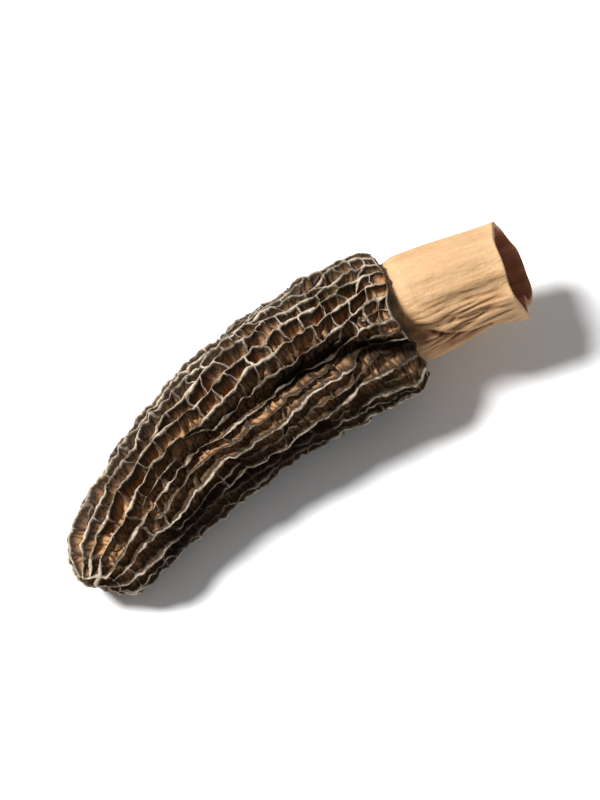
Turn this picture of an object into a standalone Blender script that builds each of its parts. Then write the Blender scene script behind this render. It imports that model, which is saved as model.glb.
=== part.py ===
"""Dried morel mushroom lying on its side: a hollow netted cap on a hollow stem, cut off at its end.

Metres, +Z up. The stem points along +X and the cap along -X, bending towards -Y as it nears its tip.
A place on the mushroom is given by its distance along the axis in millimetres (0 where the cap begins,
positive in the cap, negative in the stem), by its angle round the axis (0 at the top, a quarter turn
at the -Y side) and by its distance from the axis. The net of the cap is laid out over its skin: ribs
run from the base to the tip, some of them meeting on the way, and rungs cross the columns between them.
"""
import math
import random

import bmesh
import bpy
import numpy as np
from mathutils import Matrix, Vector, noise

MM = 0.001
TURN = 2 * math.pi
SEED = 11

# Axis of the mushroom
CAP_LENGTH = 53.0
STEM_LENGTH = 16.4
BASE_HEIGHT = 9.45
HEADING_AT_BASE = math.radians(5.0)
NECK_TURN = math.radians(13.0)
NECK_TURN_LENGTH = 8.0
TIP_TURN = math.radians(32.0)
STEM_BEND_LENGTH = 10.0
CAP_PITCH = math.radians(4.7)
STEM_PITCH = math.radians(10.0)
PITCH_CHANGE_START = 3.0
AXIS_STEP = 0.25
AXIS_REACH = 26.0

# Outline of the cap
CAP_RADIUS = 9.95
CAP_TAPER = 4.9
CAP_TAPER_POWER = 2.4
TIP_ROUND_LENGTH = 4.6
TIP_ROUND_POWER = 3.2
RIM_ROUND_LENGTH = 2.6
RIM_ROUND_SHARE = 0.1
WIDE_SHARE = 1.04
THICK_SHARE = 0.89
FOLD_WIDTH = 2.2
FOLD_SWAY = 4.0
FOLD_SWAY_LENGTH = 4.0
# Waves round the axis, here and below: how many, lean in radians a millimetre, phase and size
TIP_LOBES = ((3.0, 0.0, 0.6, 0.08), (5.0, 0.0, 2.0, 0.048))
CRUMPLE_START = 40.0
CRUMPLE_LENGTH = 12.0
SWELL = 0.045
SWELL_LENGTH = 11.0
SWELL_SPREAD = 2.0
# The cap hangs further out from the stem on its lower front side
BASE_BULGE = 0.07
BASE_BULGE_ANGLE = math.radians(114.0)
BASE_BULGE_LENGTH = 14.0
# Long folds of the dried cap: angle in degrees, depth, start and end along the axis
FOLDS = ((22.0, 3.3, -4.0, 38.5), (-62.0, 0.8, 3.7, 41.5), (-128.0, 1.2, 8.7, 46.5),
         (132.0, 1.1, 0.7, 29.5), (84.0, 0.9, 12.7, 49.5))
FOLD_FADE = 7.0
FOLD_LEAN = 44.0
FOLD_LEAN_LENGTH = 9.7

# Net of the cap
RIB_COUNT = 22
RIB_UNEVENNESS = 0.22
RIB_WAVE = 1.1
RIB_WAVE_LENGTH = 6.5
RIB_WAVE_SPREAD = 1.3
TIP_WAVE_RADIUS = 3.0
COLUMN_SWAY = 0.25
COLUMN_SWAY_WAVES = 5.0
COLUMN_NOISE_STEP = 7.3
COLUMN_NOISE_START = 1.7
# Every fourth rib runs into its neighbour between these shares of the way to the tip
MEETING_RIBS = range(1, RIB_COUNT, 4)
MEETINGS = (0.44, 0.80)
MEETING_LENGTH = 0.12
SHOULDER_RING = 0.908
TIP_RING = 0.955
RUNG_SPACING = 3.35
RUNG_SPACING_UPPER = 2.75
CLOSE_RUNGS_ANGLE = math.radians(-20.0)
CLOSE_RUNGS_END = 0.636
CLOSE_RUNGS_FADE = 0.455
RUNG_JITTER = 0.2
RUNG_SLANT = 0.4
# First rungs of odd and even columns, and the least length of a column's last pit, in rung spacings
FIRST_RUNGS = (1.1, 0.62)
LAST_PIT = 0.65
SHARED_POINT_REACH = 0.7
CREST_HALF_WIDTH = 0.2
CREST_MOST_SHARE = 0.3
CREST_DROP = 0.12
PIT_DEPTH = 1.75
PIT_DEPTH_AT_RIM = 0.85
PIT_DEPTH_AT_TIP = 0.8
PIT_FLOOR_SHARE = 0.74
PIT_DEPTH_PER_WIDTH = 1.15
RIM_PITS_REACH = 9.0
TIP_PITS_START = 0.82
TIP_PITS_FADE = 0.08
# Pits sink towards the axis, and those round the tip towards the point this far before it
TIP_ANCHOR = 6.0

# Hollow of the cap
MOUTH_RADIUS = 6.85
MOUTH_NECK_RADIUS = 6.2
MOUTH_NECK_DEPTH = 3.0
NECK_FADE = 3.0
CAP_WALL = 3.1
HOLLOW_DEPTH = 28.0
HOLLOW_RING_STEP = 3.0
HOLLOW_STEP_SHARE = 0.6
HOLLOW_LAST_STEP = 0.8
HOLLOW_END_LENGTH = 6.0
HOLLOW_END_POWER = 2.4
HOLLOW_END_LEAST = 0.05

# Flat spot that the cap rests on
REST_REACH = 6.0
REST_ALONG = 20.0

# Stem
STEM_SEGMENTS = 44
STEM_TUCK = 3.0
STEM_GAP = 0.3
STEM_RADIUS = 7.1
STEM_RADIUS_AT_CUT = 6.55
STEM_SWELL_START = 2.5
STEM_WALL = 1.35
STEM_WALL_AT_RIM = 0.85
STEM_FLUTES = ((9.0, 0.12, 1.57, 0.13), (14.0, -0.2, 2.57, 0.09))
STEM_FREE_LENGTH = 3.0
CUT_SLANT = math.radians(13.0)
CUT_SLANT_ANGLE = math.radians(24.0)
CUT_WAVES = ((2.0, 0.0, 1.0, 0.2), (5.0, 0.0, 0.0, 0.12))
CUT_SQUASH = 0.12
SQUASH_START = 4.0
SQUASH_LENGTH = 10.0
# The long crease runs on from the deep fold of the cap, steep on its upper side
LONG_CREASE_ANGLE = math.radians(58.0)
LONG_CREASE_LEAN = math.radians(4.2)
LONG_CREASE_AT_NECK = 2.0
LONG_CREASE_DEPTH = 1.1
LONG_CREASE_WIDTHS = (3.1, 0.9, 3.0)
LONG_CREASE_FADE = 5.0
# Other creases of the stem: angle in degrees, depth, where they begin and how far they lean
STEM_CREASES = ((40.0, 0.4, 3.0, -0.2), (-100.0, 0.6, 3.0, -0.8), (170.0, 0.5, 2.0, 0.7), (-40.0, 0.3, 1.0, 0.5))
STEM_CREASE_WIDTH = 1.0
STEM_CREASE_FADE = 4.0
# Shares of the way from the tucked end to the cut at which the outer and the inner rings stand
OUTER_RINGS = (0.0, 0.08, 0.16, 0.25, 0.36, 0.48, 0.6, 0.72, 0.83, 0.92)
INNER_RINGS = (0.88, 0.72, 0.55, 0.38, 0.22, 0.1, 0.0)
RIM_ROUNDING = 0.2

CAP_COLOUR = (0.115, 0.078, 0.052, 1.0)
CAP_ROUGHNESS = 0.85
STEM_COLOUR = (0.62, 0.44, 0.25, 1.0)
STEM_ROUGHNESS = 0.6
SHARP_ANGLE = math.radians(40.0)


def smooth_step(value):
    """0 below 0, 1 above 1 and a smooth rise between."""
    clamped = min(max(value, 0.0), 1.0)
    return clamped * clamped * (3.0 - 2.0 * clamped)


def mix(first, second, share):
    return first + (second - first) * share


def noise_round(angle, along, spread, length):
    """Noise that closes on itself round the axis: more spread gives more waves round it."""
    return noise.noise(Vector((spread * math.cos(angle), spread * math.sin(angle), along / length)))


def waves_round(waves, angle, along=0.0):
    """Sum of waves that each close on themselves round the axis."""
    return sum(size * math.sin(count * angle + lean * along + phase) for count, lean, phase, size in waves)


def clear_scene():
    for existing in list(bpy.data.objects):
        bpy.data.objects.remove(existing, do_unlink=True)


# Axis

def heading(along):
    """How far the axis has turned from -X towards -Y."""
    if along >= 0.0:
        neck = NECK_TURN * (1.0 - math.exp(-along / NECK_TURN_LENGTH))
        return HEADING_AT_BASE + neck + TIP_TURN * (along / CAP_LENGTH) ** 2
    return HEADING_AT_BASE * smooth_step(1.0 + along / STEM_BEND_LENGTH)


def pitch(along):
    """How steeply the axis falls towards the tip."""
    return mix(CAP_PITCH, STEM_PITCH, smooth_step((PITCH_CHANGE_START - along) / STEM_BEND_LENGTH))


def tip_direction(along):
    turn, fall = heading(along), pitch(along)
    return Vector((-math.cos(turn) * math.cos(fall), -math.sin(turn) * math.cos(fall), -math.sin(fall)))


def trace_axis():
    """Distances along the axis and the points there, walked from the base both ways."""
    toward_tip = np.arange(0.0, CAP_LENGTH + AXIS_STEP, AXIS_STEP)
    toward_cut = np.arange(0.0, -AXIS_REACH, -AXIS_STEP)
    start = Vector((0.0, 0.0, BASE_HEIGHT))
    table = {0.0: start}
    for walk in (toward_tip, toward_cut):
        point = start
        for here, there in zip(walk[:-1], walk[1:]):
            point = point + tip_direction((here + there) / 2) * (there - here)
            table[float(there)] = point
    distances = sorted(table)
    return np.array(distances), np.array([table[distance] for distance in distances])


AXIS_DISTANCES, AXIS_POINTS = trace_axis()


def place(along, angle, radius):
    """Point at this distance along the axis, angle round it and distance from it."""
    centre = Vector([np.interp(along, AXIS_DISTANCES, AXIS_POINTS[:, i]) for i in range(3)])
    forward = tip_direction(along)
    side = Vector((math.sin(heading(along)), -math.cos(heading(along)), 0.0))
    up = forward.cross(side)
    return centre + (up * math.cos(angle) + side * math.sin(angle)) * radius


# Skin of the cap

def cap_radius(along):
    """Mean radius of the cap over its crests."""
    radius = CAP_RADIUS - CAP_TAPER * (max(along, 0.0) / CAP_LENGTH) ** CAP_TAPER_POWER
    into_tip = (along - (CAP_LENGTH - TIP_ROUND_LENGTH)) / TIP_ROUND_LENGTH
    if into_tip > 0.0:
        radius *= max(1.0 - min(into_tip, 1.0) ** TIP_ROUND_POWER, 0.0) ** (1.0 / TIP_ROUND_POWER)
    rim = max(1.0 - along / RIM_ROUND_LENGTH, 0.0)
    return radius * (1.0 - RIM_ROUND_SHARE * rim * rim)


def trace_skin():
    """Distance along the axis at even shares of the way over the skin, from base to tip."""
    straight = np.linspace(0.0, CAP_LENGTH - TIP_ROUND_LENGTH, 240)
    rounded = CAP_LENGTH - TIP_ROUND_LENGTH * (1.0 - np.sin(np.linspace(0.0, math.pi / 2, 80)[1:]))
    along = np.concatenate((straight, rounded))
    radii = np.array([cap_radius(distance) for distance in along])
    steps = np.hypot(np.diff(along), np.diff(radii))
    travelled = np.concatenate(([0.0], np.cumsum(steps)))
    return along, travelled / travelled[-1], travelled[-1]


SKIN_ALONG, SKIN_SHARE, SKIN_LENGTH = trace_skin()


def skin_along(share):
    return float(np.interp(share, SKIN_SHARE, SKIN_ALONG))


def angle_between(first, second):
    return (first - second + math.pi) % TURN - math.pi


def fold_depth(along, angle):
    """How far the long folds pull the skin in at this place."""
    depth = 0.0
    for fold_angle, fold_size, start, end in FOLDS:
        lean = FOLD_LEAN * math.exp(-((along / FOLD_LEAN_LENGTH) ** 2))
        sway = FOLD_SWAY * math.sin(along / FOLD_SWAY_LENGTH + fold_angle)
        centre = math.radians(fold_angle + lean + sway)
        window = smooth_step((along - start) / FOLD_FADE) * smooth_step((end - along) / FOLD_FADE)
        offset = angle_between(angle, centre) * cap_radius(along) / FOLD_WIDTH
        depth += fold_size * window * math.exp(-offset * offset)
    return depth


def crest_radius(along, angle):
    """Distance from the axis to the crests of the net."""
    radius = cap_radius(along)
    oval = math.hypot(THICK_SHARE * math.cos(angle), WIDE_SHARE * math.sin(angle))
    lobes = 1.0 + smooth_step((along - CRUMPLE_START) / CRUMPLE_LENGTH) * waves_round(TIP_LOBES, angle)
    swell = 1.0 + SWELL * noise_round(angle, along, SWELL_SPREAD, SWELL_LENGTH)
    bulge = 1.0 + BASE_BULGE * math.cos(angle - BASE_BULGE_ANGLE) * math.exp(-((along / BASE_BULGE_LENGTH) ** 2))
    return max(radius * oval * lobes * swell * bulge - fold_depth(along, angle) * radius / CAP_RADIUS, 0.0)


def sunk_point(share, angle, depth):
    """Point this far below the crests towards the axis, pressed flat where the cap rests."""
    along = skin_along(share)
    point = place(along, angle, crest_radius(along, angle))
    anchor = place(min(along, CAP_LENGTH - TIP_ANCHOR), 0.0, 0.0)
    point += (anchor - point).normalized() * depth
    point.z = max(point.z, 0.0)
    return point


# Net of the cap

class Net:
    """Ribs and rungs laid over the cap: points as (share, angle) and cells as lists of point numbers."""

    def __init__(self, draw):
        self.rib_end = [1.0] * RIB_COUNT
        self.joins = {}
        for rib in MEETING_RIBS:
            self.rib_end[rib] = draw.uniform(*MEETINGS)
            self.joins[rib] = rib - 1
        self.column_share = [1.0 + draw.uniform(-RIB_UNEVENNESS, RIB_UNEVENNESS) for _ in range(RIB_COUNT)]
        self.points = []
        self.on_rib = [[] for _ in range(RIB_COUNT)]
        self.cells = []
        self.lay_ends()
        self.lay_columns(draw)

    def column_width(self, column, share):
        """Width of a column as against its neighbours: it sways, and it closes where its ribs meet."""
        place_in_noise = Vector((COLUMN_NOISE_STEP * column, COLUMN_SWAY_WAVES * share, COLUMN_NOISE_START))
        width = self.column_share[column] * (1.0 + COLUMN_SWAY * noise.noise(place_in_noise))
        if column + 1 in self.joins:
            width *= smooth_step((self.rib_end[column + 1] - share) / MEETING_LENGTH)
        return width

    def rib_angle(self, rib, share):
        """Angle of a rib at this share of the way to the tip, waves included."""
        widths = [self.column_width(column, share) for column in range(RIB_COUNT)]
        angle = TURN * sum(widths[:rib]) / sum(widths)
        along = skin_along(share)
        wave = RIB_WAVE * noise_round(angle, along, RIB_WAVE_SPREAD, RIB_WAVE_LENGTH)
        return angle + wave / max(cap_radius(along), TIP_WAVE_RADIUS)

    def live_rib(self, rib, share):
        """The rib that this one has run into by then."""
        while share > self.rib_end[rib]:
            rib = self.joins[rib]
        return rib

    def rib_point(self, rib, share):
        """Number of the point on a rib there, shared with one that is already close by."""
        rib = self.live_rib(rib % RIB_COUNT, share)
        reach = SHARED_POINT_REACH / SKIN_LENGTH
        near = [(abs(other - share), number) for other, number in self.on_rib[rib] if abs(other - share) < reach]
        if near:
            return min(near)[1]
        self.points.append((share, self.rib_angle(rib, share)))
        self.on_rib[rib].append((share, len(self.points) - 1))
        return len(self.points) - 1

    def lay_ends(self):
        """Points where ribs begin, meet and end."""
        for rib in range(RIB_COUNT):
            self.rib_point(rib, 0.0)
        for rib, neighbour in self.joins.items():
            number = self.rib_point(rib, self.rib_end[rib])
            self.on_rib[neighbour].append((self.rib_end[rib], number))
        self.tip_ring = [self.rib_point(rib, TIP_RING) for rib in range(RIB_COUNT) if rib not in self.joins]
        self.base_ring = []
        for rib in range(RIB_COUNT):
            low = self.points[self.rib_point(rib, 0.0)][1]
            high = self.points[self.rib_point(rib + 1, 0.0)][1]
            middle = low + ((high - low) % TURN) / 2
            self.points.append((0.0, middle))
            self.base_ring += [self.rib_point(rib, 0.0), len(self.points) - 1]

    def rung_spacing(self, column, share):
        """Rungs are closer near the base on the upper side."""
        upper = (1.0 + math.cos(self.rib_angle(column, share) - CLOSE_RUNGS_ANGLE)) / 2
        near_base = smooth_step((CLOSE_RUNGS_END - share) / CLOSE_RUNGS_FADE)
        return mix(RUNG_SPACING, RUNG_SPACING_UPPER, upper * near_base)

    def lay_columns(self, draw):
        """Rungs of each column, then the cells between them."""
        rows = {}
        for column in range(RIB_COUNT):
            closing = self.rib_end[column + 1] if column + 1 in self.joins else SHOULDER_RING
            end = closing * SKIN_LENGTH
            travelled = self.rung_spacing(column, 0.0) * FIRST_RUNGS[column % 2]
            rows[column] = []
            while travelled < end - LAST_PIT * RUNG_SPACING:
                slant = draw.uniform(-RUNG_SLANT, RUNG_SLANT)
                left = self.rib_point(column, (travelled + slant) / SKIN_LENGTH)
                right = self.rib_point(column + 1, (travelled - slant) / SKIN_LENGTH)
                rows[column].append((left, right))
                stretch = draw.uniform(1.0 - RUNG_JITTER, 1.0 + RUNG_JITTER)
                travelled += self.rung_spacing(column, travelled / SKIN_LENGTH) * stretch
            rows[column].append((self.rib_point(column, closing), self.rib_point(column + 1, closing)))
            if closing == SHOULDER_RING:
                rows[column].append((self.rib_point(column, TIP_RING), self.rib_point(column + 1, TIP_RING)))
        for on_rib in self.on_rib:
            on_rib.sort()
        for column, rungs in rows.items():
            low = (self.rib_point(column, 0.0), self.rib_point(column + 1, 0.0))
            middle = [self.base_ring[2 * column + 1]]
            for high in rungs:
                left = self.rib_path(column, low[0], high[0])
                right = self.rib_path(column + 1, low[1], high[1])
                self.cells.append(self.loop(left + right[::-1] + middle))
                low, middle = high, []

    def rib_path(self, rib, first, last):
        """Point numbers along a rib from one of its points to another."""
        start, end = self.points[first][0], self.points[last][0]
        rib = self.live_rib(rib % RIB_COUNT, start)
        path = [number for share, number in self.on_rib[rib] if start <= share <= end]
        while end > self.rib_end[rib]:
            start = self.rib_end[rib]
            rib = self.joins[rib]
            path += [number for share, number in self.on_rib[rib] if start <= share <= end]
        return path

    @staticmethod
    def loop(numbers):
        """The same loop with no point twice."""
        return list(dict.fromkeys(numbers))


# Meshes

def join_rings(bm, first, second):
    """Strip of faces between two rings with as many points each."""
    for i in range(len(first)):
        j = (i + 1) % len(first)
        bm.faces.new((first[i], first[j], second[j], second[i]))


def pit_centre(corners):
    """Share and angle of the middle of a pit; a pit round the tip has its middle there, at no angle."""
    first_angle = corners[0][1]
    turns = [angle_between(angle, first_angle) for _, angle in corners]
    if max(turns) - min(turns) > math.pi:
        return 1.0, None
    share = sum(share for share, _ in corners) / len(corners)
    return share, first_angle + sum(turns) / len(turns)


def part_way(corner, centre, way):
    """Share and angle of the point part of the way from a corner of a pit to its middle."""
    turn = 0.0 if centre[1] is None else angle_between(centre[1], corner[1])
    return mix(corner[0], centre[0], way), corner[1] + turn * way


def sink_pit(bm, corners, rim):
    """One pit of the net: the half crests round it, its wall and its floor."""
    centre = pit_centre(corners)
    middle = sunk_point(centre[0], centre[1] or 0.0, 0.0)
    distances = [(vertex.co / MM - middle).length for vertex in rim]
    depth = min(pit_depth(centre[0]), PIT_DEPTH_PER_WIDTH * sum(distances) / len(distances))
    shoulders = []
    floor = []
    for corner, distance in zip(corners, distances):
        step = min(CREST_HALF_WIDTH / distance, CREST_MOST_SHARE)
        shoulders.append(bm.verts.new(sunk_point(*part_way(corner, centre, step), CREST_DROP) * MM))
        way = 1.0 - (1.0 - step) * PIT_FLOOR_SHARE
        floor.append(bm.verts.new(sunk_point(*part_way(corner, centre, way), depth) * MM))
    join_rings(bm, rim, shoulders)
    join_rings(bm, shoulders, floor)
    hub = bm.verts.new(sunk_point(centre[0], centre[1] or 0.0, depth) * MM)
    for i, corner in enumerate(floor):
        bm.faces.new((corner, floor[(i + 1) % len(floor)], hub))


def pit_depth(share):
    """Pits are shallower at the rim and over the blunt tip."""
    from_rim = smooth_step(share * SKIN_LENGTH / RIM_PITS_REACH)
    to_tip = smooth_step((share - TIP_PITS_START) / TIP_PITS_FADE)
    return mix(mix(PIT_DEPTH_AT_RIM, PIT_DEPTH, from_rim), PIT_DEPTH_AT_TIP, to_tip)


def hollow_radius(along, angle):
    """Distance from the axis to the smooth wall inside the cap."""
    inside = crest_radius(along, angle) - CAP_WALL
    narrowing = min(along / MOUTH_NECK_DEPTH, 1.0)
    neck = mix(MOUTH_RADIUS, MOUTH_NECK_RADIUS, narrowing) - long_crease(0.0, angle)
    radius = mix(neck, inside, smooth_step((along - MOUTH_NECK_DEPTH) / NECK_FADE))
    into_end = max((along - HOLLOW_DEPTH) / HOLLOW_END_LENGTH + 1.0, 0.0)
    return radius * math.sqrt(max(1.0 - into_end ** HOLLOW_END_POWER, HOLLOW_END_LEAST))


def make_cap():
    net = Net(random.Random(SEED))
    bm = bmesh.new()
    vertices = [bm.verts.new(sunk_point(share, angle, 0.0) * MM) for share, angle in net.points]
    rest_centre = place(REST_ALONG, math.pi, 0.0)
    for cell in net.cells + [net.tip_ring]:
        rim = [vertices[number] for number in cell]
        middle = sum((vertex.co for vertex in rim), Vector()) / len(rim) / MM
        on_floor = all(vertex.co.z == 0.0 for vertex in rim)
        if on_floor and (middle.xy - rest_centre.xy).length < REST_REACH:
            bm.faces.new(rim)
        else:
            sink_pit(bm, [net.points[number] for number in cell], rim)

    angles = [net.points[number][1] for number in net.base_ring]
    rings = [[vertices[number] for number in net.base_ring]]
    along = 0.0
    while along < HOLLOW_DEPTH:
        rings.append([bm.verts.new(place(along, angle, hollow_radius(along, angle)) * MM) for angle in angles])
        along += min(HOLLOW_RING_STEP, max((HOLLOW_DEPTH - along) * HOLLOW_STEP_SHARE, HOLLOW_LAST_STEP))
    for first, second in zip(rings[:-1], rings[1:]):
        join_rings(bm, second, first)
    bm.faces.new(rings[-1][::-1])
    return finish_mesh("cap", bm, CAP_COLOUR, CAP_ROUGHNESS)


def long_crease(out, angle):
    """Depth of the crease under the deep fold of the cap, in the mouth of the cap and along the stem."""
    free = smooth_step(out / LONG_CREASE_FADE)
    offset = angle_between(angle, LONG_CREASE_ANGLE + LONG_CREASE_LEAN * max(out, 0.0)) * STEM_RADIUS
    at_neck, above, below = LONG_CREASE_WIDTHS
    width = mix(at_neck, above if offset < 0.0 else below, free)
    return mix(LONG_CREASE_AT_NECK, LONG_CREASE_DEPTH, free) * math.exp(-((offset / width) ** 2))


def stem_radius(out, angle):
    """Distance from the axis to the skin of the stem, this far out from the cap."""
    slope = (MOUTH_RADIUS - MOUTH_NECK_RADIUS) / MOUTH_NECK_DEPTH
    neck = MOUTH_RADIUS - STEM_GAP + slope * min(out, 0.0)
    body = mix(STEM_RADIUS, STEM_RADIUS_AT_CUT, smooth_step(out / STEM_LENGTH))
    squash = CUT_SQUASH * smooth_step((out - SQUASH_START) / SQUASH_LENGTH)
    radius = mix(neck, body, smooth_step(out / STEM_SWELL_START))
    radius *= 1.0 - squash * math.cos(angle - CUT_SLANT_ANGLE) ** 2
    radius += waves_round(STEM_FLUTES, angle, out) * smooth_step(out / STEM_FREE_LENGTH)
    for crease_angle, depth, start, lean in STEM_CREASES:
        centre = math.radians(crease_angle + lean * out)
        offset = angle_between(angle, centre) * STEM_RADIUS / STEM_CREASE_WIDTH
        radius -= depth * smooth_step((out - start) / STEM_CREASE_FADE) * math.exp(-offset * offset)
    return radius - long_crease(out, angle)


def cut_distance(angle):
    """How far out the cut edge lies at this angle: slanted, so that it opens upwards, and ragged."""
    slant = STEM_RADIUS * math.tan(CUT_SLANT) * math.cos(angle - CUT_SLANT_ANGLE)
    return STEM_LENGTH - slant + waves_round(CUT_WAVES, angle)


def make_stem():
    bm = bmesh.new()
    angles = [TURN * i / STEM_SEGMENTS for i in range(STEM_SEGMENTS)]

    def ring(share, inset, back=0.0):
        """Ring at a share of the way from the tucked end to the cut, moved inwards by the wall."""
        corners = []
        for angle in angles:
            out = -STEM_TUCK + (cut_distance(angle) - back + STEM_TUCK) * share
            corners.append(bm.verts.new(place(-out, angle, stem_radius(out, angle) - inset) * MM))
        return corners

    outer = [ring(share, 0.0) for share in OUTER_RINGS]
    rim = [ring(1.0, RIM_ROUNDING, back=RIM_ROUNDING / 2),
           ring(1.0, STEM_WALL_AT_RIM - RIM_ROUNDING),
           ring(1.0, STEM_WALL_AT_RIM, back=RIM_ROUNDING)]
    inner = [ring(share, STEM_WALL) for share in INNER_RINGS]
    rings = outer + rim + inner + outer[:1]
    for first, second in zip(rings[:-1], rings[1:]):
        join_rings(bm, second, first)
    return finish_mesh("stem", bm, STEM_COLOUR, STEM_ROUGHNESS)


def finish_mesh(name, bm, colour, roughness):
    """Object of this mesh with its own plain material."""
    bmesh.ops.recalc_face_normals(bm, faces=bm.faces[:])
    mesh = bpy.data.meshes.new(name)
    bm.to_mesh(mesh)
    bm.free()
    mesh.shade_smooth()
    mesh.set_sharp_from_angle(angle=SHARP_ANGLE)
    material = bpy.data.materials.new(name)
    material.use_nodes = True
    surface = material.node_tree.nodes["Principled BSDF"]
    surface.inputs["Base Color"].default_value = colour
    surface.inputs["Roughness"].default_value = roughness
    surface.inputs["Metallic"].default_value = 0.0
    mesh.materials.append(material)
    piece = bpy.data.objects.new(name, mesh)
    bpy.context.scene.collection.objects.link(piece)
    return piece


def centre_on_floor(pieces):
    """Moves the pieces together so that the middle of their box stands over the origin."""
    corners = np.array([vertex.co for piece in pieces for vertex in piece.data.vertices])
    middle = (corners.min(axis=0) + corners.max(axis=0)) / 2
    shift = Matrix.Translation((-middle[0], -middle[1], -corners[:, 2].min()))
    for piece in pieces:
        piece.data.transform(shift)


clear_scene()
centre_on_floor([make_cap(), make_stem()])
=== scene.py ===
"""Looks of the dried morel: the fine net of its cap, its furrowed stem, and the floor, light and camera.

Metres, +Z up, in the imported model's frame: the stem points along +X and the cap along -X, bending to -Y.
A place on the mushroom is given by its distance along the axis in millimetres (0 where the cap begins,
positive in the cap, negative in the stem), by its angle round the axis (0 at the top, a quarter turn
at the -Y side) and by its distance from the axis. The net of the cap is laid out over its skin: ribs
run from the base to the tip, some of them meeting on the way, and rungs cross the columns between them.
"""

import math
import random

import bmesh
import bpy
import numpy as np
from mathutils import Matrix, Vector, noise


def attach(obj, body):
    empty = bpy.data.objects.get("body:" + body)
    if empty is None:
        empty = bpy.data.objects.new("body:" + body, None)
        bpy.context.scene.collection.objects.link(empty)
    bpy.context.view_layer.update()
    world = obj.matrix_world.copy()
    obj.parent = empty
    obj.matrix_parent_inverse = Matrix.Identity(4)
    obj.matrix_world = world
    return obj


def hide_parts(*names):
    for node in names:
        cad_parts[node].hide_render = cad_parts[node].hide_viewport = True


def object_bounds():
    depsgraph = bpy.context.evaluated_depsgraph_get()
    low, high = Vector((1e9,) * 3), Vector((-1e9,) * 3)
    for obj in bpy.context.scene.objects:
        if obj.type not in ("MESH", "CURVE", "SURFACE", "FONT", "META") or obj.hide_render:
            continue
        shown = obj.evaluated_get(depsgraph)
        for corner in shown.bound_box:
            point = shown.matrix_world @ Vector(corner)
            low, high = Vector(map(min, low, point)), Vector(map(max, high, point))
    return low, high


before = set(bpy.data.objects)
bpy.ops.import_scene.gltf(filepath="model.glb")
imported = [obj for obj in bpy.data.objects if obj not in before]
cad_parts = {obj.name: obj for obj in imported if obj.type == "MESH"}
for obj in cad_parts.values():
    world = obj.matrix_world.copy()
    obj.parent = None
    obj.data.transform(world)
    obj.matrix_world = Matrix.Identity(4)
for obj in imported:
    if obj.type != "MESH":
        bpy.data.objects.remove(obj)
cad_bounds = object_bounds()

MM = 0.001
TURN = 2 * math.pi
SEED = 11

# Axis of the mushroom, from the middle of the cap's base edge
AXIS_START = (15.318, 7.950, 9.45)
CAP_LENGTH = 53.0
STEM_LENGTH = 16.4
HEADING_AT_BASE = math.radians(5.0)
NECK_TURN = math.radians(13.0)
NECK_TURN_LENGTH = 8.0
TIP_TURN = math.radians(32.0)
STEM_BEND_LENGTH = 10.0
CAP_PITCH = math.radians(4.7)
STEM_PITCH = math.radians(10.0)
PITCH_CHANGE_START = 3.0
AXIS_STEP = 0.25
AXIS_REACH = 26.0
# Numbers of places at which the skin of the cap is measured, before the round end and on it
SKIN_SAMPLES = (240, 80)

# Outline of the cap
CAP_RADIUS = 9.95
CAP_TAPER = 4.9
CAP_TAPER_POWER = 2.4
TIP_ROUND_LENGTH = 4.6
TIP_ROUND_POWER = 3.2
RIM_ROUND_LENGTH = 2.6
RIM_ROUND_SHARE = 0.1
WIDE_SHARE = 1.04
THICK_SHARE = 0.89
FOLD_WIDTH = 2.2
FOLD_SWAY = 4.0
FOLD_SWAY_LENGTH = 4.0
# Waves round the axis, here and below: how many, lean in radians a millimetre, phase and size
TIP_LOBES = ((3.0, 0.0, 0.6, 0.08), (5.0, 0.0, 2.0, 0.048))
CRUMPLE_START = 40.0
CRUMPLE_LENGTH = 12.0
SWELL = 0.045
SWELL_LENGTH = 11.0
SWELL_SPREAD = 2.0
# The cap hangs further out from the stem on its lower front side
BASE_BULGE = 0.07
BASE_BULGE_ANGLE = math.radians(114.0)
BASE_BULGE_LENGTH = 14.0
# Long folds of the dried cap: angle in degrees, depth, start and end along the axis
FOLDS = ((22.0, 3.3, -4.0, 38.5), (-62.0, 0.8, 3.7, 41.5), (-128.0, 1.2, 8.7, 46.5),
         (132.0, 1.1, 0.7, 29.5), (84.0, 0.9, 12.7, 49.5))
FOLD_FADE = 7.0
FOLD_LEAN = 44.0
FOLD_LEAN_LENGTH = 9.7
# How much painted shade each fold lays on the flesh. Towards the tip, on the upper side of this angle, only a
# part of it is left.
FOLD_SHADES = (1.0, 0.25, 0.35, 0.35, 0.8)
FOLD_SHADE_ANGLE = 1.0
FOLD_SHADE_END = 23.0
FOLD_SHADE_FADE = 8.0
FOLD_SHADE_LEFT = 0.3

# Corner of the blunt tip: its place along, round and off the axis, and how far it reaches and stands out
KNOB_PLACE = (52.6, math.radians(-60.0), 1.6)
KNOB_REACH = 2.1
KNOB_SIZE = 1.7
KNOB_LEAN = 0.35

# Net of the cap
RIB_COUNT = 22
RIB_UNEVENNESS = 0.22
RIB_WAVE = 1.1
RIB_WAVE_LENGTH = 6.5
RIB_WAVE_SPREAD = 1.3
TIP_WAVE_RADIUS = 3.0
COLUMN_SWAY = 0.25
COLUMN_SWAY_WAVES = 5.0
COLUMN_NOISE_STEP = 7.3
COLUMN_NOISE_START = 1.7
# Every fourth rib runs into its neighbour between these shares of the way to the tip
MEETING_RIBS = range(1, RIB_COUNT, 4)
MEETINGS = (0.44, 0.80)
MEETING_LENGTH = 0.12
SHOULDER_RING = 0.908
TIP_RING = 0.955
RUNG_SPACING = 3.35
RUNG_SPACING_UPPER = 2.75
CLOSE_RUNGS_ANGLE = math.radians(-20.0)
CLOSE_RUNGS_END = 0.636
CLOSE_RUNGS_FADE = 0.455
RUNG_JITTER = 0.2
RUNG_SLANT = 0.4
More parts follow.
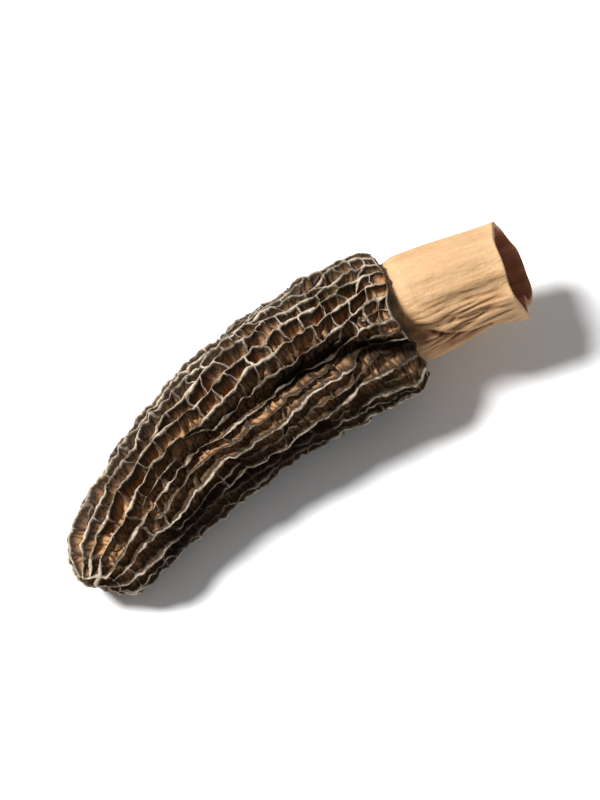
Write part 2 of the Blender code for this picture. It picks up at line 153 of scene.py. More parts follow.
# First rungs of odd and even columns, and the least length of a column's last pit, in rung spacings
FIRST_RUNGS = (1.1, 0.62)
LAST_PIT = 0.65
SHARED_POINT_REACH = 0.7
EDGE_STEP = 0.37
# Rungs stand high on the upper side near the base, and elsewhere they lie deep between the ribs
RUNG_SAG = 0.7
RUNG_SAG_HIGH = 0.2
RUNG_SAG_SPREAD = (0.4, 1.5)
HIGH_RUNGS_ANGLE = math.radians(-35.0)
HIGH_RUNGS_REACH = 1.5
HIGH_RUNGS_END = 0.62
HIGH_RUNGS_FADE = 0.2
RUNG_BOW = 0.3
RUNG_SAG_POWER = 4
# Rungs lie deeper still where the long folds are deep
FOLD_RUNG_SAG = 1.1
EDGE_SAG = 0.15
LOW_RUNG_SAG = 0.95
LOW_RUNG_CHANCE = 0.4
LOW_RUNG_GAP = 2.3
# A column wider than this has a thinner rib down its middle
WIDE_COLUMN = 2.7
HALF_RIB_DROP = 0.3
HALF_RIB_WIDTH = 0.75
TIP_SPOKES = 5
CRINKLE = 0.42
CRINKLE_LENGTH = 1.7
CRINKLE_FADE = 0.03
# The curl of the lines round the axis has a finer part
FINE_CURL = 0.5
FINE_CURL_RATE = 2.3
# Noises of the shift along the axis, the sway and the teeth: how fine they are and where they are read
CREST_NOISES = ((1.3, (2.0, 8.0, 4.0)), (0.55, (5.0, 3.0, 9.0)), (1.9, (7.0, 1.0, 3.0)))
CREST_SWAY = 0.5
CREST_TEETH = 0.42
# The hem hangs out raggedly: by this much where the crests sway most, and by this share where they don't
HEM_RAGGEDNESS = 1.5
HEM_HANG = 0.3
# The hem is drawn back round this angle, between the top and the deep fold
HEM_BACK = 2.0
HEM_BACK_ANGLE = math.radians(26.0)
HEM_BACK_REACH = math.radians(30.0)
HEM_BACK_FADE = 9.0
# Widths of the crests, as against the widest
RUNG_WIDTH = 0.75
LOW_RUNG_WIDTH = 0.5
CREST_WIDTH_SPREAD = 1.5
CREST_WIDTH_LENGTH = 2.2
PIT_DEPTH = 2.6
PIT_DEPTH_AT_RIM = 1.15
PIT_DEPTH_AT_TIP = 1.2
PIT_DEPTH_PER_WIDTH = 1.5
PIT_DEPTH_SPREAD = 0.14
PIT_DEPTH_LEAST = 0.3
# Section of a pit from its crest to its floor: way in as millimetres, then as a share, depth share, height
PIT_SECTION = (
    (0.16, 0.0, 0.02, 0.96), (0.24, 0.0, 0.1, 0.8), (0.29, 0.0, 0.36, 0.5), (0.36, 0.03, 0.72, 0.3),
    (0.41, 0.22, 0.94, 0.12), (0.41, 0.75, 1.0, 0.0))
# A crest takes at most this share of the way to the pit's middle, and its wall and floor take the rest
CREST_SHARE_MOST = 0.4
WAY_LEAST = 0.01
# How fast the pleats of a wall grow with its depth
PLEAT_GROWTH = 4.0
RIM_PITS_REACH = 9.0
TIP_PITS_START = 0.82
TIP_PITS_FADE = 0.08
# Pits sink towards the axis, and those round the tip towards the point this far before it
TIP_ANCHOR = 6.0

# Hollow of the cap
MOUTH_RADIUS = 6.85
MOUTH_NECK_RADIUS = 6.2
MOUTH_NECK_DEPTH = 3.0
NECK_FADE = 3.0
CAP_WALL = 3.95
HOLLOW_DEPTH = 28.0
HOLLOW_RING_STEP = 2.0
HOLLOW_STEP_SHARE = 0.6
HOLLOW_LAST_STEP = 0.5
HOLLOW_END_LENGTH = 6.0
HOLLOW_END_POWER = 2.4
HOLLOW_END_LEAST = 0.05

# Wrinkled lip between the cap's base edge and its mouth
LIP_BULGE = 0.4
LIP_WRINKLES = 1.8
LIP_WRINKLE_SPREAD = 6.5
LIP_SHARES = (0.25, 0.5, 0.75)
# Looks of lip and hollow, as heights between a pit's floor and its crest, which give them dark tones from the
# walls' painted shade
LIP_HEIGHT = 0.5
HOLLOW_HEIGHT = 0.3

# Stem
STEM_SEGMENTS = 200
STEM_RINGS = 84
BORE_RINGS = 30
STEM_TUCK = 3.0
STEM_GAP = 0.3
STEM_RADIUS = 7.1
STEM_RADIUS_AT_CUT = 6.55
STEM_SWELL_START = 2.5
STEM_WALL = 1.35
STEM_WALL_AT_RIM = 0.85
# Shares of the way to the cut: where the wall thins, over how much of it, and where the outer skin ends
RIM_WALL_START = 0.85
RIM_WALL_REACH = 0.12
SKIN_END = 0.985
STEM_FLUTES = ((9.0, 0.12, 1.57, 0.13), (14.0, -0.2, 2.57, 0.09))
STEM_FREE_LENGTH = 3.0
FLUTE_UNEVENNESS = 1.5
FLUTE_SPREAD = 1.6
CUT_SLANT = math.radians(13.0)
CUT_SLANT_ANGLE = math.radians(24.0)
CUT_WAVES = ((2.0, 0.0, 1.0, 0.2), (5.0, 0.0, 0.0, 0.12))
CUT_SQUASH = 0.12
SQUASH_START = 4.0
SQUASH_LENGTH = 10.0
# The long crease runs on from the deep fold of the cap, steep on its upper side
LONG_CREASE_ANGLE = math.radians(58.0)
LONG_CREASE_LEAN = math.radians(4.2)
LONG_CREASE_AT_NECK = 2.0
LONG_CREASE_DEPTH = 1.1
LONG_CREASE_WIDTHS = (3.1, 0.9, 3.0)
LONG_CREASE_FADE = 5.0
# A slit under its steep side: depth, distance from its line, width and how it wanders
SLIT_DEPTH = 0.8
SLIT_OFFSET = 0.3
SLIT_WIDTH = 0.42
SLIT_WANDER = 0.8
SLIT_WANDER_LENGTH = 2.2
# Other creases of the stem: angle in degrees, depth, where they begin and how far they lean
STEM_CREASES = ((40.0, 0.4, 3.0, -0.2), (-100.0, 0.6, 3.0, -0.8), (170.0, 0.5, 2.0, 0.7),
                (-40.0, 0.3, 1.0, 0.5))
STEM_CREASE_WIDTH = 1.0
STEM_CREASE_FADE = 4.0
# The skin is creased like folded paper round this angle, and nearly smooth on the far side
CREASED_ANGLE = math.radians(76.0)
CREASED_REACH = math.radians(38.0)
CREASED_LEAST = 0.15
RIM_SMOOTH_LENGTH = 2.2
# The stem is browner where it comes out of the cap
NECK_TINT = 0.5
NECK_TINT_LENGTH = 1.8
BORE_START = 0.96
# Edge of the cut: inset from the skin, how far back from the cut, and how much of the bore's look it has
RIM_SECTION = ((0.0, 0.16, 0.0), (0.1, 0.04, 0.0), (0.35, 0.0, 0.15), (0.6, 0.0, 0.4), (0.8, 0.1, 0.9))

# Sharp creases of the stem's skin
CREASE_SCALE = 1.7
CREASE_SHARPNESS = 9.0
CREASE_DISTORTION = 0.6
# Share of the soft furrows painted into the colour, as shade in them and light between them; sharp creases
# are painted dark in full.
FURROW_PAINTED_SHADING = 0.3

# Looks. Sizes of the grain are those of its patches and its specks.
PORES_PER_SPECK = 0.7
PORE_HEIGHT = 0.4
CAP_ROUGHNESS = 0.9
CAP_SHINE = 0.08
CAP_GRAIN = (0.0035, 0.00035)
CAP_GRAIN_HEIGHT = 0.5
CAP_BUMP = (0.00016, 0.7)
CAP_PATCH_SPAN = (0.36, 0.66)
PATCH_WEAR = 0.17
SPECK_WEAR = 0.4
# Tones from a pit's floor (0) to its crest (1): the near-black band down the walls is painted shade in the
# pits.
CAP_TONES = ((0.0, (0.38, 0.205, 0.10)), (0.2, (0.27, 0.15, 0.075)), (0.4, (0.085, 0.05, 0.028)),
             (0.66, (0.026, 0.018, 0.012)), (0.82, (0.12, 0.09, 0.064)), (0.97, (0.46, 0.38, 0.29)))
# Painted shade in the grooves of the fine wrinkles.
COMB_GROOVE_SHADE = (0.05, 0.026, 0.014)
# Colours laid over others: the values between which they appear, their strength and the colour
# The first is painted shade, near black, along the long folds.
FOLD_PAINTED_SHADE = ((0.12, 0.6), 0.9, (0.022, 0.014, 0.009))
PATCH_TINT = ((0.35, 0.7), 0.4, (0.56, 0.33, 0.165))
FIBRE_TINT = ((0.5, 0.72), 0.3, (0.42, 0.225, 0.10))
PALE_TINT = ((0.55, 0.75), 0.35, (0.72, 0.52, 0.33))
SPECK_TINT = ((0.6, 0.75), 0.4, (0.42, 0.225, 0.10))
# Fine wrinkles across the ribs: how fast they follow each other along them, and how they wander
COMB_RATE = 7.5
COMB_WANDER = 22.0
COMB_SPAN = (0.1, 0.9)
COMB_HEIGHTS = (0.62, 0.4)
COMB_STRENGTH = 0.45
STEM_ROUGHNESS = 0.7
STEM_GRAIN = (0.004, 0.0004)
STEM_GRAIN_HEIGHT = 0.4
STEM_BUMP = (0.0002, 0.8)
# Tones from the deepest painted shade in the creases (0) to the plain skin (1).
STEM_TONES = ((0.0, (0.09, 0.027, 0.009)), (0.4, (0.27, 0.13, 0.054)), (0.75, (0.41, 0.248, 0.119)),
              (1.0, (0.515, 0.33, 0.172)))
# Painted shade along the creases, and the browner neck.
CREASE_PAINTED_SHADE = 0.45
FIBRE_GRAIN = (0.07, 0.025)
FIBRE_STRETCH = 0.3
BORE_DARK = (0.20, 0.062, 0.026)
BORE_LIGHT = (0.34, 0.12, 0.055)

# Camera and light
VIEW_AZIMUTH = math.radians(-18.0)
VIEW_ELEVATION = math.radians(60.0)
VIEW_DISTANCE = 0.50
VIEW_WIDTH = 0.076
SENSOR_HEIGHT = 36.0
PICTURE_WIDTH = 600
PICTURE_HEIGHT = 800
CLIP_START = 0.01
# Name, place, width and watts
LAMPS = (("key lamp", (-0.58, 0.24, 0.78), 0.28, 20.5), ("fill lamp", (0.5, -0.6, 0.7), 0.9, 0.8))
WORLD_LIGHT = 0.25
FLOOR_SIZE = 6.0
FLOOR_COLOUR = (0.86, 0.86, 0.86)
FLOOR_ROUGHNESS = 0.9


def smooth_step(value):
    """0 below 0, 1 above 1 and a smooth rise between."""
    clamped = min(max(value, 0.0), 1.0)
    return clamped * clamped * (3.0 - 2.0 * clamped)


def bell(value):
    """1 at 0 and a smooth fall on both sides."""
    return math.exp(-value * value)


def mix(first, second, share):
    return first + (second - first) * share


def noise_round(angle, along, spread, length):
    """Noise that closes on itself round the axis: more spread gives more waves round it."""
    return noise.noise(Vector((spread * math.cos(angle), spread * math.sin(angle), along / length)))


def waves_round(waves, angle, along=0.0):
    """Sum of waves that each close on themselves round the axis."""
    return sum(size * math.sin(count * angle + lean * along + phase) for count, lean, phase, size in waves)


# Axis

def heading(along):
    """How far the axis has turned from -X towards -Y."""
    if along >= 0.0:
        neck = NECK_TURN * (1.0 - math.exp(-along / NECK_TURN_LENGTH))
        return HEADING_AT_BASE + neck + TIP_TURN * (along / CAP_LENGTH) ** 2
    return HEADING_AT_BASE * smooth_step(1.0 + along / STEM_BEND_LENGTH)


def pitch(along):
    """How steeply the axis falls towards the tip."""
    return mix(CAP_PITCH, STEM_PITCH, smooth_step((PITCH_CHANGE_START - along) / STEM_BEND_LENGTH))


def tip_direction(along):
    turn, fall = heading(along), pitch(along)
    return Vector((-math.cos(turn) * math.cos(fall), -math.sin(turn) * math.cos(fall), -math.sin(fall)))


def trace_axis():
    """Distances along the axis and the points there, walked from the base both ways."""
    toward_tip = np.arange(0.0, CAP_LENGTH + AXIS_STEP, AXIS_STEP)
    toward_cut = np.arange(0.0, -AXIS_REACH, -AXIS_STEP)
    start = Vector(AXIS_START)
    table = {0.0: start}
    for walk in (toward_tip, toward_cut):
        point = start
        for here, there in zip(walk[:-1], walk[1:]):
            point = point + tip_direction((here + there) / 2) * (there - here)
            table[float(there)] = point
    distances = sorted(table)
    return np.array(distances), np.array([table[distance] for distance in distances])


AXIS_DISTANCES, AXIS_POINTS = trace_axis()


def place(along, angle, radius):
    """Point at this distance along the axis, angle round it and distance from it."""
    centre = Vector([np.interp(along, AXIS_DISTANCES, AXIS_POINTS[:, i]) for i in range(3)])
    forward = tip_direction(along)
    side = Vector((math.sin(heading(along)), -math.cos(heading(along)), 0.0))
    up = forward.cross(side)
    return centre + (up * math.cos(angle) + side * math.sin(angle)) * radius


# Skin of the cap

def cap_radius(along):
    """Mean radius of the cap over its crests."""
    radius = CAP_RADIUS - CAP_TAPER * (max(along, 0.0) / CAP_LENGTH) ** CAP_TAPER_POWER
    into_tip = (along - (CAP_LENGTH - TIP_ROUND_LENGTH)) / TIP_ROUND_LENGTH
    if into_tip > 0.0:
        radius *= max(1.0 - min(into_tip, 1.0) ** TIP_ROUND_POWER, 0.0) ** (1.0 / TIP_ROUND_POWER)
    rim = max(1.0 - along / RIM_ROUND_LENGTH, 0.0)
    return radius * (1.0 - RIM_ROUND_SHARE * rim * rim)


def trace_skin():
    """Distance along the axis at even shares of the way over the skin, from base to tip."""
    straight = np.linspace(0.0, CAP_LENGTH - TIP_ROUND_LENGTH, SKIN_SAMPLES[0])
    turns = np.linspace(0.0, math.pi / 2, SKIN_SAMPLES[1])[1:]
    rounded = CAP_LENGTH - TIP_ROUND_LENGTH * (1.0 - np.sin(turns))
    along = np.concatenate((straight, rounded))
    radii = np.array([cap_radius(distance) for distance in along])
    steps = np.hypot(np.diff(along), np.diff(radii))
    travelled = np.concatenate(([0.0], np.cumsum(steps)))
    return along, travelled / travelled[-1], travelled[-1]


SKIN_ALONG, SKIN_SHARE, SKIN_LENGTH = trace_skin()


def skin_along(share):
    return float(np.interp(share, SKIN_SHARE, SKIN_ALONG))


def angle_between(first, second):
    return (first - second + math.pi) % TURN - math.pi


def fold_strengths(along, angle):
    """How strongly each of the long folds shows at this place, up to 1."""
    strengths = []
    for fold_angle, _, start, end in FOLDS:
        lean = FOLD_LEAN * bell(along / FOLD_LEAN_LENGTH)
        sway = FOLD_SWAY * math.sin(along / FOLD_SWAY_LENGTH + fold_angle)
        centre = math.radians(fold_angle + lean + sway)
        window = smooth_step((along - start) / FOLD_FADE) * smooth_step((end - along) / FOLD_FADE)
        offset = angle_between(angle, centre) * cap_radius(along) / FOLD_WIDTH
        strengths.append(window * bell(offset))
    return strengths


def fold_depth(along, angle):
    """How far the long folds pull the skin in at this place."""
    return sum(fold[1] * strength for fold, strength in zip(FOLDS, fold_strengths(along, angle)))


def fold_shade(along, angle):
    """How much painted shade the long folds lay on this place."""
    shade = sum(dark * strength for dark, strength in zip(FOLD_SHADES, fold_strengths(along, angle)))
    if angle_between(angle, FOLD_SHADE_ANGLE) < 0.0:
        lighter = smooth_step((along - FOLD_SHADE_END) / FOLD_SHADE_FADE + 1.0)
        shade *= mix(1.0, FOLD_SHADE_LEFT, lighter)
    return min(shade, 1.0)


def crest_radius(along, angle):
    """Distance from the axis to the crests of the net."""
    radius = cap_radius(along)
    oval = math.hypot(THICK_SHARE * math.cos(angle), WIDE_SHARE * math.sin(angle))
    lobes = 1.0 + smooth_step((along - CRUMPLE_START) / CRUMPLE_LENGTH) * waves_round(TIP_LOBES, angle)
    swell = 1.0 + SWELL * noise_round(angle, along, SWELL_SPREAD, SWELL_LENGTH)
    bulge = 1.0 + BASE_BULGE * math.cos(angle - BASE_BULGE_ANGLE) * bell(along / BASE_BULGE_LENGTH)
    return max(radius * oval * lobes * swell * bulge - fold_depth(along, angle) * radius / CAP_RADIUS, 0.0)


def skin_place(share, angle):
    along = skin_along(share)
    return place(along, angle, crest_radius(along, angle))


def inward_from(point, along):
    """Direction in which a pit sinks from this point of the skin."""
    anchor = place(min(along, CAP_LENGTH - TIP_ANCHOR), 0.0, 0.0)
    return (anchor - point).normalized()


def hem_back(along, angle):
    """How far the skin is drawn back towards the tip near the hem."""
    offset = angle_between(angle, HEM_BACK_ANGLE) / HEM_BACK_REACH
    return HEM_BACK * bell(offset) * (1.0 - smooth_step(along / HEM_BACK_FADE))


def knob_direction():
    """The corner of the blunt tip stands out mostly straight on."""
    along, angle, radius = KNOB_PLACE
    outward = place(along, angle, radius) - place(along, angle, 0.0)
    return (tip_direction(along) + outward.normalized() * KNOB_LEAN).normalized()


def crest_point(share, angle, drop):
    """Point of the net this far below the crests and its inward direction; it is crinkled both ways."""
    along = skin_along(share)
    radius = crest_radius(along, angle)
    spot = place(along, angle, radius) / CRINKLE_LENGTH
    fade = smooth_step(share / CRINKLE_FADE)
    curl = noise.noise(spot) + FINE_CURL * noise.noise(spot * FINE_CURL_RATE)
    shift, sway, teeth = (noise.noise(spot * rate + Vector(start)) for rate, start in CREST_NOISES)
    angle += CRINKLE * curl * fade / max(radius, TIP_WAVE_RADIUS)
    along += CRINKLE * shift * fade * smooth_step((TIP_RING - share) / CRINKLE_FADE)
    along += hem_back(along, angle) - HEM_RAGGEDNESS * max(HEM_HANG + sway, 0.0) * (1.0 - fade)
    point = place(along, angle, crest_radius(along, angle))
    inward = inward_from(point, along)
    point += inward * (drop - (CREST_SWAY * sway + CREST_TEETH * teeth) * fade)
    from_knob = (point - place(*KNOB_PLACE)).length / KNOB_REACH
    point += knob_direction() * KNOB_SIZE * bell(from_knob)
    point.z = max(point.z, 0.0)
    return point, inward


# Net of the cap

class Net:
    """Ribs and rungs laid over the cap.

    A point is its share of the way to the tip, its angle, its drop below the crests and its crest's width,
    and a cell is the list of the numbers of its points.
    """

    def __init__(self, draw, fine_draw):
        self.rib_end = [1.0] * RIB_COUNT
        self.joins = {}
        for rib in MEETING_RIBS:
            self.rib_end[rib] = draw.uniform(*MEETINGS)
            self.joins[rib] = rib - 1
        uneven = (draw.uniform(-RIB_UNEVENNESS, RIB_UNEVENNESS) for _ in range(RIB_COUNT))
        self.column_share = [1.0 + part for part in uneven]
        self.points = []
        self.on_rib = [[] for _ in range(RIB_COUNT)]
        self.low_rungs = set()
        self.wide_rungs = set()
        self.edges = {}
        self.cells = []
        self.fine_draw = fine_draw
        self.lay_ends()
        self.lay_columns(draw)

    def column_width(self, column, share):
        """Width of a column as against its neighbours: it sways, and it closes where its ribs meet."""
        place_in_noise = Vector((COLUMN_NOISE_STEP * column, COLUMN_SWAY_WAVES * share, COLUMN_NOISE_START))
        width = self.column_share[column] * (1.0 + COLUMN_SWAY * noise.noise(place_in_noise))
        if column + 1 in self.joins:
            width *= smooth_step((self.rib_end[column + 1] - share) / MEETING_LENGTH)
        return width

    def rib_angle(self, rib, share):
        """Angle of a rib at this share of the way to the tip, waves included."""
        widths = [self.column_width(column, share) for column in range(RIB_COUNT)]
        angle = TURN * sum(widths[:rib]) / sum(widths)
        along = skin_along(share)
        wave = RIB_WAVE * noise_round(angle, along, RIB_WAVE_SPREAD, RIB_WAVE_LENGTH)
        return angle + wave / max(cap_radius(along), TIP_WAVE_RADIUS)

    def live_rib(self, rib, share):
        """The rib that this one has run into by then."""
        while share > self.rib_end[rib]:
            rib = self.joins[rib]
        return rib

    def add_point(self, share, angle, drop=0.0, width=1.0):
        self.points.append((share, angle, drop, width))
        return len(self.points) - 1

    def rib_point(self, rib, share):
        """Number of the point on a rib there, shared with one that is already close by."""
        rib = self.live_rib(rib % RIB_COUNT, share)
        reach = SHARED_POINT_REACH / SKIN_LENGTH
        others = [(abs(other - share), number) for other, number in self.on_rib[rib]]
        away, closest = min(others, default=(reach, None))
        if away < reach:
            return closest
        number = self.add_point(share, self.rib_angle(rib, share))
        self.on_rib[rib].append((share, number))
        return number

    def lay_ends(self):
        """Points where ribs begin, meet and end."""
        for rib in range(RIB_COUNT):
            self.rib_point(rib, 0.0)
        for rib, neighbour in self.joins.items():
            number = self.rib_point(rib, self.rib_end[rib])
            self.on_rib[neighbour].append((self.rib_end[rib], number))
        self.tip_ring = [self.rib_point(rib, TIP_RING) for rib in range(RIB_COUNT) if rib not in self.joins]

    def rung_spacing(self, column, share):
        """Rungs are closer near the base on the upper side."""
        upper = (1.0 + math.cos(self.rib_angle(column, share) - CLOSE_RUNGS_ANGLE)) / 2
        near_base = smooth_step((CLOSE_RUNGS_END - share) / CLOSE_RUNGS_FADE)
        return mix(RUNG_SPACING, RUNG_SPACING_UPPER, upper * near_base)

    def lay_columns(self, draw):
        """Rungs of each column, then the cells between them."""
        rows = {}
        for column in range(RIB_COUNT):
            closing = self.rib_end[column + 1] if column + 1 in self.joins else SHOULDER_RING
            end = closing * SKIN_LENGTH
            travelled = self.rung_spacing(column, 0.0) * FIRST_RUNGS[column % 2]
            rows[column] = [(self.rib_point(column, 0.0), self.rib_point(column + 1, 0.0))]
            while travelled < end - LAST_PIT * RUNG_SPACING:
                slant = draw.uniform(-RUNG_SLANT, RUNG_SLANT)
                left = self.rib_point(column, (travelled + slant) / SKIN_LENGTH)
                right = self.rib_point(column + 1, (travelled - slant) / SKIN_LENGTH)
                rows[column].append((left, right))
                stretch = draw.uniform(1.0 - RUNG_JITTER, 1.0 + RUNG_JITTER)
                travelled += self.rung_spacing(column, travelled / SKIN_LENGTH) * stretch
            rows[column].append((self.rib_point(column, closing), self.rib_point(column + 1, closing)))
            if closing == SHOULDER_RING:
                rows[column].append(tuple(self.rib_point(column + i, TIP_RING) for i in (0, 1)))
        for column, rungs in rows.items():
            rows[column] = self.add_low_rungs(column, rungs)
        for on_rib in self.on_rib:
            on_rib.sort()
        for column, rungs in rows.items():
            for low, high in zip(rungs[:-1], rungs[1:]):
                left = self.rib_line(column, low[0], high[0])
                right = self.rib_line(column + 1, low[1], high[1])
                start, end = self.rung_line(*low), self.rung_line(*high)
                if {low, high} <= self.wide_rungs:
                    in_start, in_end = len(start) // 2, len(end) // 2
                    middle = self.half_rib(start[in_start], end[in_end])
                    self.add_cell(left + end[:in_end] + middle[::-1] + start[:in_start][::-1])
                    self.add_cell(middle + end[in_end:] + right[::-1] + start[in_start:][::-1])
                else:
                    self.add_cell(left + end + right[::-1] + start[::-1])
        self.base_line = self.closed_line([self.rib_point(rib, 0.0) for rib in range(RIB_COUNT)])
        self.close_tip()

    def add_cell(self, loop):
        self.cells.append(list(dict.fromkeys(loop)))

    def half_rib(self, low, high):
        """Point numbers of a thinner rib between the middles of two rungs, with both ends."""
        start, end = self.points[low], self.points[high]
        count = max(round((end[0] - start[0]) * SKIN_LENGTH / EDGE_STEP), 1)
        line = [low]
        for i in range(1, count):
            share = mix(start[0], end[0], i / count)
            angle = start[1] + angle_between(end[1], start[1]) * i / count
            line.append(self.add_point(share, angle, HALF_RIB_DROP, HALF_RIB_WIDTH))
        return line + [high]

    def close_tip(self):
        """Cells like slices round the end of the cap."""
        hub = self.add_point(1.0, 0.0)
        count = len(self.tip_ring)
        corners = [count * i // TIP_SPOKES for i in range(TIP_SPOKES)]
        spokes = {}
        for corner in corners:
            angle = self.points[self.tip_ring[corner]][1]
            steps = round((1.0 - TIP_RING) * SKIN_LENGTH / EDGE_STEP)
            spokes[corner] = [self.add_point(mix(TIP_RING, 1.0, i / steps), angle) for i in range(1, steps)]
        for here, there in zip(corners, corners[1:] + corners[:1]):
            ring = [self.tip_ring[i % count] for i in range(here, (there or count) + 1)]
            line = []
            for left, right in zip(ring[:-1], ring[1:]):
                line += [left] + self.rung_line(left, right)
            self.add_cell(spokes[here] + [hub] + spokes[there][::-1] + ring[-1:] + line[::-1])

    def add_low_rungs(self, column, rungs):
        """The rungs of a column with lower ones in the middle of some of its long cells."""
        filled = [rungs[0]]
        for low, high in zip(rungs[:-1], rungs[1:]):
            gap = min(self.points[high[i]][0] - self.points[low[i]][0] for i in (0, 1)) * SKIN_LENGTH
            if self.fine_draw.random() < LOW_RUNG_CHANCE and gap > LOW_RUNG_GAP:
                middles = [(self.points[low[i]][0] + self.points[high[i]][0]) / 2 for i in (0, 1)]
                rung = tuple(self.rib_point(column + i, middles[i]) for i in (0, 1))
                if not set(rung) & set(low + high):
                    self.low_rungs.add(rung)
                    filled.append(rung)
            filled.append(high)
        return filled

    def rib_line(self, rib, first, last):
        """Point numbers along a rib from one of its points to another, with finer points between them."""
        start, end = self.points[first][0], self.points[last][0]
        rib = self.live_rib(rib % RIB_COUNT, start)
        path = [(rib, number) for share, number in self.on_rib[rib] if start <= share <= end]
        while end > self.rib_end[rib]:
            start = self.rib_end[rib]
            rib = self.joins[rib]
            path += [(rib, number) for share, number in self.on_rib[rib] if start <= share <= end]
        line = [path[0][1]]
        for (_, here), (rib, there) in zip(path[:-1], path[1:]):
            if here != there:
                line += self.finer(here, there, rib) + [there]
        return line

    def finer(self, here, there, rib):
        """Points between two neighbours on a rib, made once and shared by the cells on both sides."""
        if (here, there) not in self.edges:
            low, high = self.points[here][0], self.points[there][0]
            count = max(round((high - low) * SKIN_LENGTH / EDGE_STEP), 1)
            shares = [mix(low, high, i / count) for i in range(1, count)]
            line = [self.add_point(share, self.rib_angle(rib, share)) for share in shares]
            self.edges[here, there] = line
        return self.edges[here, there]

    def rung_line(self, left, right):
        """Points between the two ends of a rung: it bows and sags, and runs up to the ribs at its ends."""
        if left == right:
            return []
        if (left, right) not in self.edges:
            low, high = self.points[left], self.points[right]
            width = (high[1] - low[1]) % TURN
            middle = mix(low[0], high[0], 0.5)
            reach = (skin_place(*low[:2]) - skin_place(*high[:2])).length
            count = max(round(reach / EDGE_STEP), 2)
            bow = self.fine_draw.uniform(-RUNG_BOW, RUNG_BOW) / SKIN_LENGTH
            sag = self.fine_draw.uniform(*RUNG_SAG_SPREAD)
            thickness = RUNG_WIDTH
            spans = 1
            if reach > WIDE_COLUMN:
                spans = 2
                self.wide_rungs.add((left, right))
            if (left, right) in self.low_rungs:
                sag *= LOW_RUNG_SAG
                thickness = LOW_RUNG_WIDTH
            elif low[0] == high[0] and low[0] in (0.0, TIP_RING):
                bow, sag = 0.0, EDGE_SAG
            else:
                sag *= mix(RUNG_SAG, RUNG_SAG_HIGH, high_rungs(middle, low[1] + width / 2))
                sag += FOLD_RUNG_SAG * fold_depth(skin_along(middle), low[1] + width / 2) / FOLDS[0][1]
            self.edges[left, right] = []
            for i in range(1, count):
                way = i / count
                arch = 1.0 - (2.0 * way - 1.0) ** 2
                in_span = way * spans % 1.0
                low_part = 1.0 - (2.0 * in_span - 1.0) ** RUNG_SAG_POWER
                drop = mix(HALF_RIB_DROP * (spans - 1) * arch, sag, low_part)
                share = mix(low[0], high[0], way) + bow * arch
                self.edges[left, right].append(self.add_point(share, low[1] + width * way, drop, thickness))
        return self.edges[left, right]

    def closed_line(self, corners):
        """A ring of rungs from rib to rib."""
        line = []
        for here, there in zip(corners, corners[1:] + corners[:1]):
            line += [here] + self.rung_line(here, there)
        return line


def high_rungs(share, angle):
    """1 where the rungs stand as high as the ribs, 0 where they lie deep between them."""
    turn = abs(angle_between(angle, HIGH_RUNGS_ANGLE)) / HIGH_RUNGS_REACH
    return smooth_step(2.0 * (1.0 - turn)) * smooth_step((HIGH_RUNGS_END - share) / HIGH_RUNGS_FADE)


# Meshes

def join_rings(bm, first, second):
    """Strip of faces between two rings with as many points each."""
    for i in range(len(first)):
        j = (i + 1) % len(first)
        bm.faces.new((first[i], first[j], second[j], second[i]))


def pit_depth(share):
    """Pits are shallower at the rim and over the blunt tip."""
    from_rim = smooth_step(share * SKIN_LENGTH / RIM_PITS_REACH)
    to_tip = smooth_step((share - TIP_PITS_START) / TIP_PITS_FADE)
    return mix(mix(PIT_DEPTH_AT_RIM, PIT_DEPTH, from_rim), PIT_DEPTH_AT_TIP, to_tip)


def hollow_radius(along, angle):
    """Distance from the axis to the smooth wall inside the cap."""
    inside = crest_radius(along, angle) - CAP_WALL
    narrowing = min(along / MOUTH_NECK_DEPTH, 1.0)
    neck = mix(MOUTH_RADIUS, MOUTH_NECK_RADIUS, narrowing) - long_crease(0.0, angle)
    radius = mix(neck, inside, smooth_step((along - MOUTH_NECK_DEPTH) / NECK_FADE))
    into_end = max((along - HOLLOW_DEPTH) / HOLLOW_END_LENGTH + 1.0, 0.0)
    return radius * math.sqrt(max(1.0 - into_end ** HOLLOW_END_POWER, HOLLOW_END_LEAST))


